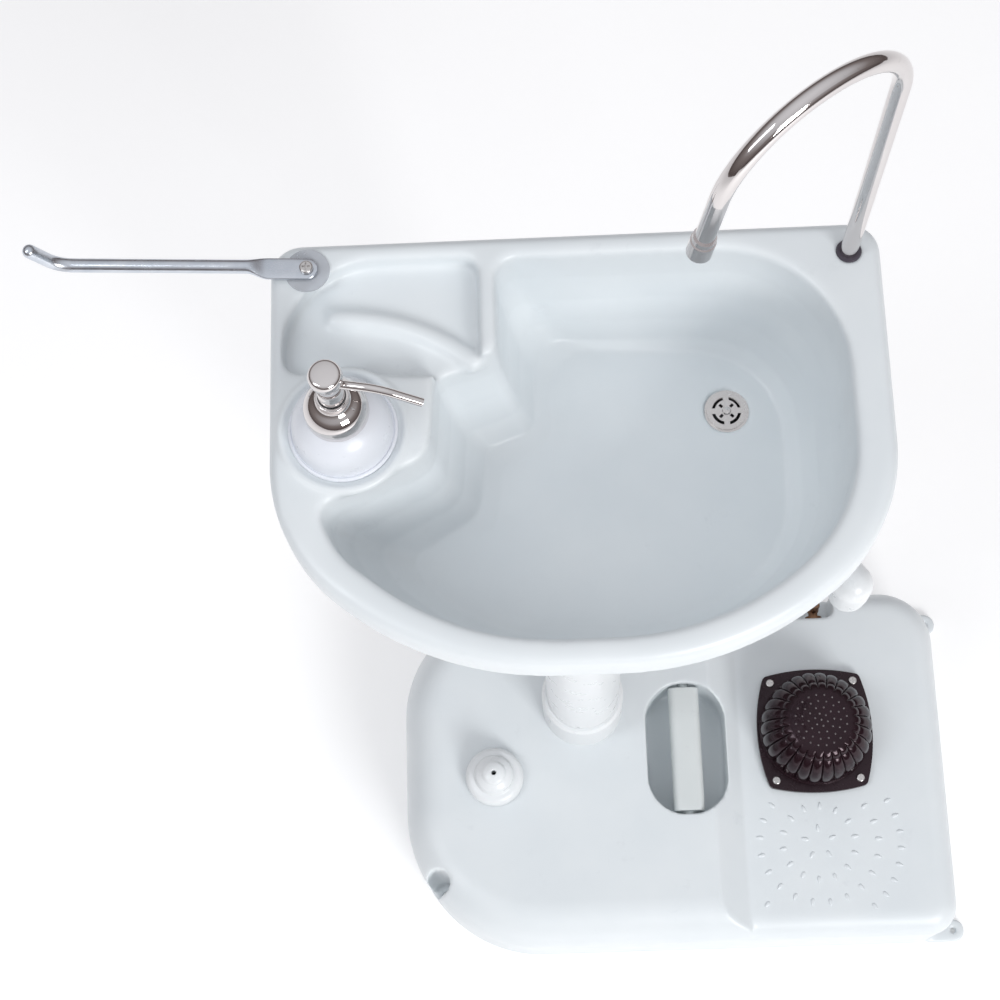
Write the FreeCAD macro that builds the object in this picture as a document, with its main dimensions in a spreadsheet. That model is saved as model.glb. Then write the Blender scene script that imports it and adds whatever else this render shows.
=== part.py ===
import FreeCAD, Part
import math
import os

import Sketcher
from FreeCAD import Placement, Rotation, Vector

# A portable handwash sink: a flat water tank with a foot pump, one column, a D-shaped basin
# with a gooseneck faucet, a soap dispenser and a swinging towel bar. Millimetres, +Z up.
# The origin is on the floor, under the column's axis; +X is the user's right, +Y is away.

DIMENSIONS = {
    "wall": 4.0,                    # moulded wall of the tank and the basin
    "rim_height": 725.0,
    # basin, in plan about the column's axis
    "basin_left": -215.0, "basin_right": 216.0, "basin_back": 222.0,
    "basin_front": -91.6, "basin_corner": 22.0, "skirt_depth": 30.0, "rim_round": 9.0,
    "side_bend_y": -3.2, "side_bend": 125.0,        # the front's two side arcs
    "front_bend_x": 99.0, "front_bend": 230.0,      # and the two longer arcs between them
    "bowl_depth": 118.0, "floor_slope": 0.12,
    "tray_depth": 15.0,
    # tank
    "tank_left": -173.0, "tank_right": 346.0, "tank_front": -222.0, "tank_back": 110.0,
    "tank_top": 135.0, "pad_top": 118.0, "step_x": 150.0, "step_run": 28.0,
    "tank_front_left_round": 128.0, "tank_back_left_round": 110.0,
    "tank_back_right_round": 50.0, "tank_front_right_round": 28.0,
    "top_round": 38.0, "pad_round": 22.0,
    # carry handle in its recess
    "handle_x": 98.0, "handle_y": -43.0, "recess_half_width": 38.0, "recess_half_length": 63.0,
    "recess_depth": 48.0, "grip_width": 29.0, "grip_height": 20.0, "grip_drop": 3.0,
    # filler neck and cap
    "filler_x": -86.0, "filler_y": -66.0, "neck_radius": 20.0, "neck_height": 10.0,
    "cap_radius": 27.5, "cap_crown_radius": 17.5, "cap_height": 32.0, "cap_gap": 0.4,
    "seal_height": 1.5, "vent_radius": 2.2,
    # foot pump
    "pump_x": 222.0, "pump_y": -29.0, "pump_plate_width": 92.0, "pump_plate_length": 107.0,
    "plate_bow_x": 9.0, "plate_bow_y": 6.0, "pump_screw_x": 79.5, "pump_screw_y": 94.0, "plate_height": 5.0,
    "gasket_height": 2.0, "bellows_radius": 52.0, "bellows_height": 44.0,
    "tread_radius": 35.0, "tread_height": 9.0, "pump_throat": 28.0,
    # column
    "column_radius": 33.0, "column_wall": 3.0, "collar_radius": 38.0, "collar_height": 60.0,
    "column_fit": 0.05, "column_well": 80.0, "socket_depth": 40.0, "socket_wall": 5.0,
    # drain and waste
    "drain_x": 113.0, "drain_y": 131.0, "drain_radius": 17.0, "drain_tube": 13.0,
    "drain_bore": 11.0, "waste_radius": 14.0, "waste_level": 525.0,
    "waste_x": 207.0, "waste_y": 10.0, "elbow_radius": 16.0, "waste_drop": 31.0,
    "spigot_radius": 15.0, "spigot_length": 14.0,
    # faucet
    "faucet_x": 193.0, "faucet_y": 198.5, "faucet_radius": 6.25, "faucet_wall": 1.0,
    "faucet_riser": 230.0, "faucet_bend": 68.0, "faucet_sweep": 170.0, "faucet_heading": 213.7,
    "faucet_fall": 46.0, "faucet_tail": 48.0, "swivel_gap": 0.06,
    # soap dispenser
    "soap_x": -163.0, "soap_y": 80.0, "soap_lift": 5.0, "bottle_radius": 35.0, "bottle_depth": 110.0,
    "bottle_flange": 38.0, "bottle_neck": 16.0, "collar_dome": 22.0,
    "knob_radius": 11.4, "soap_stem": 4.0, "spout_radius": 3.0, "spout_reach": 62.0,
    "spout_heading": -12.0,
    # towel bar
    "towel_x": -188.0, "towel_y": 200.0, "towel_radius": 5.0, "towel_reach": 182.0,
    "towel_lift": 7.0, "towel_heading": 177.0, "towel_washer": 16.0, "towel_eye": 8.0,
}

doc = FreeCAD.newDocument("handwash_sink")
dims = doc.addObject("Spreadsheet::Sheet", "Dims")
for row, (alias, amount) in enumerate(DIMENSIONS.items(), start=1):
    dims.set("A%d" % row, alias)
    dims.set("B%d" % row, str(amount))
    dims.setAlias("B%d" % row, alias)
doc.recompute()

nodes = []


def size(alias):
    """A driving dimension, read from the sheet."""
    return float(dims.get(alias))


def factor(token):
    """One term of a sum: a number, an alias, or a product such as 2*wall."""
    product = 1.0
    for part in token.split("*"):
        product *= size(part) if part in DIMENSIONS else float(part)
    return product


def value(text):
    """The number that a sum such as 'cap_radius - 2*wall' stands for."""
    total, sign = 0.0, 1.0
    for token in str(text).split():
        if token in "+-":
            sign = 1.0 if token == "+" else -1.0
        else:
            total += sign * factor(token)
            sign = 1.0
    return total


def formula(text):
    """The same sum as an expression on the sheet."""
    tokens = []
    for token in str(text).split():
        parts = ["Dims." + p if p in DIMENSIONS else p for p in token.split("*")]
        tokens.append(" * ".join(parts))
    return " ".join(tokens)


def place(thing, x, y, z):
    """Put an object at a point given as sums on the sheet."""
    for axis, text in (("x", x), ("y", y), ("z", z)):
        thing.setExpression("Placement.Base." + axis, formula(text))


def keep(thing, label):
    """Name a finished sub-part and list it for export."""
    thing.Label = label
    nodes.append(thing)
    return thing


def plane(body, role):
    return next(f for f in body.Origin.OriginFeatures if f.Role == role)


def revolved(label, x, y, z, profile, rounds=()):
    """A body turned about +Z from (radius, height) corners, with some circular edges rounded."""
    body = doc.addObject("PartDesign::Body", label)
    sketch = body.newObject("Sketcher::SketchObject", label + "_profile")
    sketch.AttachmentSupport = [(plane(body, "XZ_Plane"), "")]
    sketch.MapMode = "FlatFace"
    points = [Vector(value(r), value(h), 0) for r, h in profile]
    count = len(points)
    for i in range(count):
        sketch.addGeometry(Part.LineSegment(points[i], points[(i + 1) % count]), False)
    for i in range(count):
        sketch.addConstraint(Sketcher.Constraint("Coincident", i, 2, (i + 1) % count, 1))
    for i, (r, h) in enumerate(profile):
        bind_point(sketch, i, r, h)
    turn = body.newObject("PartDesign::Revolution", label + "_turn")
    turn.Profile = sketch
    turn.ReferenceAxis = (sketch, ["V_Axis"])
    turn.Angle = 360.0
    doc.recompute()
    if rounds:
        fillet_circles(body, turn, rounds)
    place(body, x, y, z)
    return keep(body, label)


def bind_point(sketch, line, r, h):
    """Tie the start of a sketch line to a radius and a height on the sheet."""
    if value(r) == 0.0:
        sketch.addConstraint(Sketcher.Constraint("PointOnObject", line, 1, -2))
    else:
        index = sketch.addConstraint(
            Sketcher.Constraint("DistanceX", -1, 1, line, 1, value(r)))
        sketch.setExpression("Constraints[%d]" % index, formula(r))
    if value(h) == 0.0:
        sketch.addConstraint(Sketcher.Constraint("PointOnObject", line, 1, -1))
    else:
        index = sketch.addConstraint(
            Sketcher.Constraint("DistanceY", -1, 1, line, 1, value(h)))
        sketch.setExpression("Constraints[%d]" % index, formula(h))


def fillet_circles(body, base, rounds):
    """Round the circular edges found at each (radius, height) with its own fillet."""
    for number, (r, h, radius) in enumerate(rounds):
        found = []
        for i, edge in enumerate(base.Shape.Edges, start=1):
            curve = edge.Curve
            if (curve.TypeId == "Part::GeomCircle" and abs(curve.Radius - value(r)) < 1e-4
                    and abs(curve.Center.z - value(h)) < 1e-4):
                found.append("Edge%d" % i)
        fillet = body.newObject("PartDesign::Fillet", "%s_round%d" % (body.Name, number))
        fillet.Base = (base, found)
        fillet.Radius = radius
        doc.recompute()
        base = fillet


def primitive(kind, name, x, y, z, **sizes):
    """A Part primitive whose sizes and place are bound to the sheet."""
    thing = doc.addObject("Part::" + kind, name)
    for prop, text in sizes.items():
        thing.setExpression(prop, formula(text))
    place(thing, x, y, z)
    return thing


def cut(base, tool, name):
    result = doc.addObject("Part::Cut", name)
    result.Base = base
    result.Tool = tool
    return result


def feature(label, shape, origin=Vector(0, 0, 0)):
    """A sub-part whose shape is set by code, placed after its shape is set."""
    thing = doc.addObject("Part::Feature", label)
    thing.Shape = shape
    thing.Placement = Placement(origin, Rotation())
    return keep(thing, label)


# ---- shapes made by code -------------------------------------------------------------------

def rounded_wire(corners, z):
    """A closed wire through (x, y, radius) corners, each rounded by a tangent arc."""
    count = len(corners)
    stretches = []
    for i, (x, y, radius) in enumerate(corners):
        here = Vector(x, y, z)
        before = Vector(corners[i - 1][0], corners[i - 1][1], z) - here
        after = Vector(corners[(i + 1) % count][0], corners[(i + 1) % count][1], z) - here
        before.normalize()
        after.normalize()
        half = before.getAngle(after) / 2
        towards = (before + after).normalize()
        centre = here + towards * (radius / math.sin(half))
        run = radius / math.tan(half)
        stretches.append((here + before * run, centre - towards * radius, here + after * run))
    edges = []
    for i, (start, middle, end) in enumerate(stretches):
        edges.append(Part.Arc(start, middle, end).toShape())
        following = stretches[(i + 1) % count][0]
        if (following - end).Length > 1e-6:
            edges.append(Part.LineSegment(end, following).toShape())
    return Part.Wire(edges)


def prism(wire, height):
    return Part.Face(wire).extrude(Vector(0, 0, height))


def rim_fillet(solid, radius, z):
    """Round every edge of a solid that lies wholly at height z."""
    edges = [e for e in solid.Edges if all(abs(v.Point.z - z) < 1e-6 for v in e.Vertexes)]
    return solid.makeFillet(radius, edges)


def cylinder(radius, z0, z1, x=0.0, y=0.0):
    return Part.makeCylinder(radius, z1 - z0, Vector(x, y, z0))


def box(x0, x1, y0, y1, z0, z1):
    return Part.makeBox(x1 - x0, y1 - y0, z1 - z0, Vector(x0, y0, z0))


def tube_path(points, radii):
    """Straight runs through the points, joined by tangent arcs of the given radii."""
    edges, start = [], points[0]
    for i in range(1, len(points) - 1):
        here = points[i]
        before = (points[i - 1] - here).normalize()
        after = (points[i + 1] - here).normalize()
        half = before.getAngle(after) / 2
        towards = (before + after).normalize()
        run = radii[i - 1] / math.tan(half)
        middle = here + towards * (radii[i - 1] / math.sin(half) - radii[i - 1])
        edges.append(Part.LineSegment(start, here + before * run).toShape())
        edges.append(Part.Arc(here + before * run, middle, here + after * run).toShape())
        start = here + after * run
    edges.append(Part.LineSegment(start, points[-1]).toShape())
    return Part.Wire(edges)


def swept(path, radius):
    """A round bar along a path."""
    first = path.Edges[0]
    start = first.valueAt(first.FirstParameter)
    heading = first.tangentAt(first.FirstParameter)
    circle = Part.Wire(Part.Circle(start, heading, radius).toShape())
    return path.makePipeShell([circle], True, True)


def spring(radius, wire, height, turns):
    """A round-wire coil of even pitch, standing on its own origin."""
    helix = Part.makeHelix(height / turns, height, radius)
    section = Part.Wire(Part.Circle(Vector(radius, 0, 0), Vector(0, 1, 0), wire).toShape())
    return Part.Wire(helix.Edges).makePipeShell([section], True, True)


def polar(x, y, heading, reach, z):
    """A point at a distance and heading (degrees) from (x, y)."""
    angle = math.radians(heading)
    return Vector(x + reach * math.cos(angle), y + reach * math.sin(angle), z)


# ---- tank ----------------------------------------------------------------------------------

def tank_block(inset, top, round_radius, foot):
    """The tank's outline from foot to top, drawn in by inset, with its top edge rounded."""
    left, right = size("tank_left") + inset, size("tank_right") - inset
    front, back = size("tank_front") + inset, size("tank_back") - inset
    front_right = max(size("tank_front_right_round"), round_radius + 1.0) - inset
    corners = [(left, front, size("tank_front_left_round") - inset),
               (left, back, size("tank_back_left_round") - inset),
               (right, back, size("tank_back_right_round") - inset),
               (right, front, front_right)]
    block = prism(rounded_wire(corners, foot), top - foot)
    return rim_fillet(block, round_radius, top)


def step_cutter(drop, foot):
    """What lies right of the sloping step between the raised part and the foot pad."""
    foot_x, run = size("step_x") - drop, size("step_run")
    top, pad = size("tank_top") - drop, size("pad_top") - drop
    slope = run / (top - pad)
    right = size("tank_right") + 1.0
    corners = [(foot_x - run - slope, top + 1.0), (foot_x, pad), (foot_x, foot - 1.0),
               (right, foot - 1.0), (right, top + 1.0), (foot_x - run - slope, top + 1.0)]
    side = Part.makePolygon([Vector(x, size("tank_front") - 1.0, z) for x, z in corners])
    across = size("tank_back") - size("tank_front") + 2.0
    return Part.Face(side).extrude(Vector(0, across, 0))


def tank_form(inset, foot):
    """The raised left part and the lower foot pad as one closed form."""
    drop = inset
    raised = tank_block(inset, size("tank_top") - drop, size("top_round") - inset, foot)
    high = raised.cut(step_cutter(drop, foot))
    pad = tank_block(inset, size("pad_top") - drop, size("pad_round") - inset, foot)
    return high.fuse(pad).removeSplitter()


def handle_recess(grow, floor_grow):
    """The oval pocket round the carry grip, or the wall round it when grown."""
    half_x, half_y = size("recess_half_width") + grow, size("recess_half_length") + grow
    x, y = size("handle_x"), size("handle_y")
    floor = size("tank_top") - size("recess_depth") - floor_grow
    corners = [(x - half_x, y - half_y, half_x - 2), (x - half_x, y + half_y, half_x - 2),
               (x + half_x, y + half_y, half_x - 2), (x + half_x, y - half_y, half_x - 2)]
    return prism(rounded_wire(corners, floor), size("tank_top") - floor + grow)


HOSE_POCKET = {"left": 196.0, "right": 250.0, "front": 84.0, "floor": 78.0, "round": 9.0}


def hose_pocket(grow):
    """The notch in the tank's back edge where the hose tail stands."""
    left, right = HOSE_POCKET["left"] - grow, HOSE_POCKET["right"] + grow
    front, back = HOSE_POCKET["front"] - grow, size("tank_back") + 30.0
    radius = HOSE_POCKET["round"] + grow
    corners = [(left, front, radius), (left, back, 4.0), (right, back, 4.0),
               (right, front, radius)]
    floor = HOSE_POCKET["floor"] - grow
    return prism(rounded_wire(corners, floor), size("pad_top") + 10.0 - floor)


# Ground pegs: the hole, the ear round it and its thickness, and the notch cut into a round
# corner, placed by its heading from the corner's centre and its distance inside the outline.
LUG = {"hole": 3.2, "pad": 11.0, "height": 8.0, "notch": 12.0, "ear_reach": 12.0,
       "front_heading": 214.4, "front_inset": 9.3, "back_heading": 120.0, "back_inset": 3.0}


def lug_points():
    """Ground-peg holes: two inside the round left corners, two on ears at the right."""
    right = size("tank_right") + LUG["ear_reach"]
    front_bend, back_bend = size("tank_front_left_round"), size("tank_back_left_round")
    front = polar(size("tank_left") + front_bend, size("tank_front") + front_bend,
                  LUG["front_heading"], front_bend - LUG["front_inset"], 0.0)
    back = polar(size("tank_left") + back_bend, size("tank_back") - back_bend,
                 LUG["back_heading"], back_bend - LUG["back_inset"], 0.0)
    return [(front.x, front.y, "notch"), (back.x, back.y, "notch"),
            (right, size("tank_front") + LUG["pad"], "ear"),
            (right, size("tank_back") - LUG["pad"], "ear")]


# Machine screws of the pump: head, shank, clearance and pilot radii, and the boss under each.
SCREW = {"head": 4.0, "head_height": 2.6, "edge": 1.2, "slot_reach": 2.6, "slot_half": 0.5,
         "shank": 2.0, "clearance": 2.3, "pilot": 2.05, "boss": 5.5, "boss_drop": 18.0,
         "bite": 14.0}
# The pump's ports stand each side of its axis; depths are below the foot pad.
PORT = {"offset": 10.0, "radius": 4.0, "outlet_drop": 16.0, "throat_drop": 22.0,
        "outlet_reach": 36.0, "outlet_radius": 4.5, "outlet_bore": 2.5,
        "shank_reach": 8.0}


def pump_screw_points():
    half_x, half_y = size("pump_screw_x") / 2, size("pump_screw_y") / 2
    return [(size("pump_x") + i * half_x, size("pump_y") + j * half_y)
            for i in (-1, 1) for j in (-1, 1)]


def make_tank():
    wall, top, pad = size("wall"), size("tank_top"), size("pad_top")
    outer = tank_form(0.0, 0.0)
    hollow = tank_form(wall, wall)
    well_floor = top - size("column_well")
    inner_walls = [
        cylinder(size("column_radius") + size("column_fit") + wall, well_floor - wall, top),
        handle_recess(wall, wall).common(outer),
        hose_pocket(wall).common(outer),
    ]
    inner_walls += [cylinder(SCREW["boss"], pad - SCREW["boss_drop"], pad - 1.0, x, y)
                    for x, y in pump_screw_points()]
    tank = outer.cut(hollow).fuse(inner_walls)
    for x, y, kind in lug_points():
        if kind == "notch":
            guard = cylinder(LUG["notch"] + wall, 0.0, top, x, y).common(outer)
            tank = tank.fuse(guard)
        else:
            ear = cylinder(LUG["pad"], 0.0, LUG["height"], x, y)
            arm = box(size("tank_right") - 14.0, x, y - LUG["pad"], y + LUG["pad"],
                      0.0, LUG["height"])
            tank = tank.fuse([ear, arm.cut(hollow)])
    cuts = [cylinder(size("column_radius") + size("column_fit"), well_floor, top + 5.0),
            handle_recess(0.0, 0.0), hose_pocket(0.0),
            cylinder(size("pump_throat") + 2.0, pad - 10.0, pad + 5.0,
                     size("pump_x"), size("pump_y"))]
    cuts += [cylinder(SCREW["pilot"], pad - SCREW["bite"] - 2.0, pad + 5.0, x, y)
             for x, y in pump_screw_points()]
    for x, y, kind in lug_points():
        cuts.append(cylinder(LUG["hole"], -1.0, LUG["height"] + 1.0, x, y))
        if kind == "notch":
            cuts.append(cylinder(LUG["notch"], LUG["height"], top + 5.0, x, y))
    fitting_x, fitting_z = size("pump_x") + PORT["offset"], pad - PORT["outlet_drop"]
    cuts.append(Part.makeCylinder(5.05, 2 * wall + 20.0,
                                  Vector(fitting_x,
                                         HOSE_POCKET["front"] - wall - PORT["shank_reach"],
                                         fitting_z), Vector(0, 1, 0)))
    neck = cylinder(size("neck_radius"), top - 2.0, top + size("neck_height"),
                    size("filler_x"), size("filler_y"))
    tank = tank.fuse(neck).cut(cuts)
    tank = tank.cut(cylinder(size("neck_radius") - 3.0, top - 10.0, top + 40.0,
                             size("filler_x"), size("filler_y")))
    socket_z = top - size("grip_drop") - size("grip_height") / 2
    tank = tank.cut(Part.makeCylinder(5.2, 2 * size("recess_half_length") + 6.0,
                                      Vector(size("handle_x"),
                                             size("handle_y") - size("recess_half_length") - 3.0,
                                             socket_z), Vector(0, 1, 0)))
    return feature("tank_body", tank.removeSplitter())


def make_grip():
    """The carry grip: a rounded bar with a stub at each end that sits in the recess wall."""
    length = 2 * size("recess_half_length") - 7.0
    width, height = size("grip_width"), size("grip_height")
    x, y = size("handle_x"), size("handle_y")
    top = size("tank_top") - size("grip_drop")
    bar = box(x - width / 2, x + width / 2, y - length / 2, y + length / 2, top - height, top)
    along = [e for e in bar.Edges if abs(e.tangentAt(e.FirstParameter).y) > 0.99]
    bar = bar.makeFillet(6.0, along)
    stub = Part.makeCylinder(5.0, 2 * size("recess_half_length") + 5.0,
                             Vector(x, y - size("recess_half_length") - 2.5,
                                    top - height / 2), Vector(0, 1, 0))
    return feature("carry_grip", bar.fuse(stub).removeSplitter())


def make_cap():
    """Stepped screw cap with a vent hole, and the seal ring it carries."""
    gap, neck = "cap_gap", "neck_radius"
    revolved("filler_cap", "filler_x", "filler_y", "tank_top + 0.6", [
        ("vent_radius", "neck_height + 1.4"), (neck + " + " + gap, "neck_height + 1.4"),
        (neck + " + " + gap, "0"), ("cap_radius", "0"), ("cap_radius", "neck_height"),
        ("cap_radius - 5", "neck_height + 5"), ("cap_crown_radius + 1", "neck_height + 6"),
        ("cap_crown_radius", "neck_height + 8"), ("cap_crown_radius", "cap_height - 9"),
        ("cap_crown_radius - 5", "cap_height - 3"), ("vent_radius + 5", "cap_height"),
        ("vent_radius", "cap_height")], [("cap_radius", "neck_height", 3.0)])
    revolved("cap_seal", "filler_x", "filler_y", "tank_top + neck_height + 0.1", [
        ("neck_radius - 2.5", "0"), ("neck_radius - 0.2", "0"),
        ("neck_radius - 0.2", "seal_height"), ("neck_radius - 2.5", "seal_height")])


# ---- foot pump -----------------------------------------------------------------------------

def plate_outline(grow, z, height):
    """A rectangle with four bowed sides and rounded corners: the pump plate's plan."""
    half_x, half_y = size("pump_plate_width") / 2 + grow, size("pump_plate_length") / 2 + grow
    x, y = size("pump_x"), size("pump_y")
    corners = [(-1, -1), (-1, 1), (1, 1), (1, -1)]
    edges = []
    for (ax, ay), (bx, by) in zip(corners, corners[1:] + corners[:1]):
        bow = size("plate_bow_x") * (ax + bx) / 2, size("plate_bow_y") * (ay + by) / 2
        middle = Vector(x + (ax + bx) / 2 * half_x + bow[0], y + (ay + by) / 2 * half_y + bow[1],
                        z)
        edges.append(Part.Arc(Vector(x + ax * half_x, y + ay * half_y, z), middle,
                              Vector(x + bx * half_x, y + by * half_y, z)).toShape())
    block = prism(Part.Wire(edges), height)
    upright = [e for e in block.Edges if abs(e.tangentAt(e.FirstParameter).z) > 0.99]
    return block.makeFillet(6.0, upright)


def make_pump():
    pad, x, y = size("pad_top"), size("pump_x"), size("pump_y")
    gasket_top = pad + size("gasket_height")
    plate_top = gasket_top + size("plate_height")
    screw_holes = [cylinder(SCREW["clearance"], pad - 1, plate_top + 5, px, py)
                   for px, py in pump_screw_points()]
    gasket = plate_outline(-1.0, pad, size("gasket_height"))
    gasket = gasket.cut(screw_holes + [cylinder(size("pump_throat") + 0.1, pad - 1,
                                                plate_top, x, y)])
    feature("pump_gasket", gasket)
    inlet_x, outlet_x = x - PORT["offset"], x + PORT["offset"]
    level, throat_floor = pad - PORT["outlet_drop"], pad - PORT["throat_drop"]
    ports = [cylinder(PORT["radius"], throat_floor - 8, plate_top + 1, port_x, y)
             for port_x in (inlet_x, outlet_x)]
    plate = plate_outline(0.0, gasket_top, size("plate_height"))
    throat = cylinder(size("pump_throat"), throat_floor, gasket_top, x, y)
    outlet = Part.makeCylinder(PORT["outlet_radius"], 10.0,
                               Vector(outlet_x, y + PORT["outlet_reach"] - 10.0, level),
                               Vector(0, 1, 0))
    way_out = Part.makeCylinder(PORT["outlet_bore"], 40.0, Vector(outlet_x, y, level),
                                Vector(0, 1, 0))
    inlet_step = cylinder(7.0, throat_floor - 1, throat_floor + 8, inlet_x, y)
    outlet_plug = cylinder(PORT["radius"], throat_floor, throat_floor + 4, outlet_x, y)
    plate = plate.fuse([throat, outlet]).cut(screw_holes + ports + [inlet_step, way_out])
    plate = plate.fuse(outlet_plug)
    feature("pump_base_plate", plate.removeSplitter())
    screws = []
    head_top, reach, half = plate_top + SCREW["head_height"], SCREW["slot_reach"], SCREW["slot_half"]
    for px, py in pump_screw_points():
        head = cylinder(SCREW["head"], plate_top, head_top, px, py)
        head = rim_fillet(head, SCREW["edge"], head_top)
        slot = box(px - reach, px + reach, py - half, py + half, head_top - 1.4, head_top + 1.4)
        cross = box(px - half, px + half, py - reach, py + reach, head_top - 1.4, head_top + 1.4)
        shank = cylinder(SCREW["shank"], pad - SCREW["bite"], plate_top, px, py)
        screws.append(head.cut([slot, cross]).fuse(shank))
    feature("pump_screws", Part.makeCompound(screws))
    top = "bellows_height"
    revolved("pump_bellows", "pump_x", "pump_y", "pad_top + gasket_height + plate_height", [
        ("bellows_radius - 6", "0"), ("bellows_radius", "0"), ("bellows_radius + 1", "9"),
        ("bellows_radius - 2", "24"), ("tread_radius + 6", top + " - 4"),
        ("tread_radius", top), ("tread_radius - 6", top), ("tread_radius - 6", top + " - 3"),
        ("tread_radius + 3", top + " - 7"), ("bellows_radius - 6", "22"),
        ("bellows_radius - 3", "9")])
    revolved("pump_tread", "pump_x", "pump_y",
             "pad_top + gasket_height + plate_height + bellows_height + 0.2", [
                 ("0", "0"), ("tread_radius + 2", "0"), ("tread_radius + 3", "3"),
                 ("tread_radius - 1", "tread_height - 2"), ("tread_radius - 9", "tread_height"),
                 ("0", "tread_height + 1")])
    revolved("pump_pressure_disc", "pump_x", "pump_y",
             "pad_top + gasket_height + plate_height + bellows_height - 3", [
                 ("0", "0"), ("tread_radius - 7", "0"), ("tread_radius - 7", "3.2"),
                 ("0", "3.2")])
    coil_height = size("bellows_height") - 3.5 - 2.6
    feature("pump_spring", spring(20.0, 1.2, coil_height, 6), Vector(x, y, plate_top + 1.3))
    flap, inlet_seat = 1.2, throat_floor + 7.8
    flaps = [cylinder(6.5, inlet_seat - flap, inlet_seat, inlet_x, y),
             cylinder(6.0, plate_top, plate_top + flap, outlet_x, y)]
    feature("pump_valve_flaps", Part.makeCompound(flaps))
    revolved("suction_tube", "pump_x - 10", "pump_y", "16", [
        ("4.5", "0"), ("6.9", "0"), ("6.9", "pad_top - 32"), ("4.5", "pad_top - 32")])
    revolved("suction_filter", "pump_x - 10", "pump_y", "wall + 1", [
        ("7", "0"), ("10", "0"), ("10", "22"), ("7", "22")])
    first = y + size("pump_throat") + 0.5
    last = HOSE_POCKET["front"] - size("wall") - PORT["shank_reach"]
    delivery = Part.makeCylinder(6.5, last - first, Vector(outlet_x, first, level),
                                 Vector(0, 1, 0))
    bore = Part.makeCylinder(4.6, 200.0, Vector(outlet_x, y, level), Vector(0, 1, 0))
    feature("delivery_tube", delivery.cut(bore))


def make_hose_tail():
    """Brass elbow in the tank's back notch, with a barbed tail for the supply hose."""
    x, z = size("pump_x") + PORT["offset"], size("pad_top") - PORT["outlet_drop"]
    y = HOSE_POCKET["front"] + 12.0
    start = HOSE_POCKET["front"] - size("wall") - PORT["shank_reach"] - 14.0
    shank = Part.makeCylinder(4.5, y - start, Vector(x, start, z), Vector(0, 1, 0))
    collar = Part.makeCylinder(8.0, 4.0, Vector(x, HOSE_POCKET["front"], z), Vector(0, 1, 0))
    knuckle = Part.makeSphere(6.0, Vector(x, y, z))
    tail = cylinder(4.0, z, z + 22.0, x, y)
    barbs = [Part.makeCone(5.2, 4.0, 4.0, Vector(x, y, z + lift)) for lift in (7.0, 12.0, 17.0)]
    body = shank.fuse([collar, knuckle, tail] + barbs)
    bore = cylinder(2.4, z, z + 30.0, x, y)
    inlet = Part.makeCylinder(2.4, y - start + 2, Vector(x, start - 2, z), Vector(0, 1, 0))
    feature("hose_tail", body.cut([bore, inlet]).removeSplitter())


# ---- column --------------------------------------------------------------------------------

def make_column():
    revolved("column_collar", "0", "0", "tank_top", [
        ("column_radius + column_fit", "0"), ("collar_radius", "0"),
        ("collar_radius", "collar_height - 3"), ("collar_radius - 2.5", "collar_height"),
        ("column_radius + column_fit", "collar_height")])
    revolved("column_pipe", "0", "0", "tank_top - column_well", [
        ("column_radius - column_wall", "0"), ("column_radius", "0"),
        ("column_radius", "column_well + rim_height - tank_top - bowl_depth - 3*wall"),
        ("column_radius - column_wall",
         "column_well + rim_height - tank_top - bowl_depth - 3*wall")])


# ---- basin ---------------------------------------------------------------------------------

def basin_outline(inset, z):
    """D-shaped plan: straight back and sides, and a round front of four tangent arcs."""
    left, right, back = size("basin_left"), size("basin_right"), size("basin_back")
    front, bend_y, bend_x = size("basin_front"), size("side_bend_y"), size("front_bend_x")
    corner, side_bend, front_bend = size("basin_corner"), size("side_bend"), size("front_bend")
    wire = rounded_wire([(left, back, corner), (right, back, corner),
                         (right, bend_y, side_bend), (bend_x, front, front_bend),
                         (-bend_x, front, front_bend), (left, bend_y, side_bend)], z)
    return wire.makeOffset2D(-inset) if inset else wire


# The bowl's mouth and floor as matching corners (x, y, radius), clockwise from the back left.
BOWL_MOUTH = [(-56, 205, 16), (188, 205, 90), (188, 6, 117), (86, -72, 200), (-86, -72, 200),
              (-172, -6, 70), (-182, 26, 12), (-104, 60, 24), (-100, 122, 10), (-56, 134, 10)]
BOWL_FLOOR = [(-22, 178, 34), (156, 178, 66), (156, 20, 90), (72, -36, 150), (-50, -36, 110),
              (-92, -6, 30), (-98, 12, 10), (-62, 42, 24), (-56, 88, 10), (-22, 104, 16)]
TRAY = [(-205, 207, 66), (-68, 207, 12), (-68, 118, 8), (-205, 124, 12)]
# Ribs on the tray's floor: arcs about one point, as (reach, radius, first, last heading).
RIB_CENTRE = (-170.0, 18.0)
RIBS = [(150.0, 7.5, 47.0, 92.0), (112.0, 6.0, 59.0, 80.0)]
RIB_SUNK = 0.35                     # share of a rib's radius that lies below the tray's floor
BOSS = {"drain": 26.0, "faucet": 15.0, "faucet_drop": 22.0, "towel": 11.0, "towel_drop": 12.0}


def bowl_section(share, grow, drop):
    """A wire of the bowl between its mouth (share 0) and its floor (share 1)."""
    corners = []
    for (mx, my, mr), (fx, fy, fr) in zip(BOWL_MOUTH, BOWL_FLOOR):
        corners.append((mx + (fx - mx) * share, my + (fy - my) * share, mr + (fr - mr) * share))
    wire = rounded_wire(corners, 0.0)
    if grow:
        wire = wire.makeOffset2D(grow)
    tilt = math.degrees(math.atan(size("floor_slope") * share))
    wire.rotate(Vector(0, 0, 0), Vector(0, 1, 0), tilt)
    wire.translate(Vector(0, 0, size("rim_height") - drop))
    return wire


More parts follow.
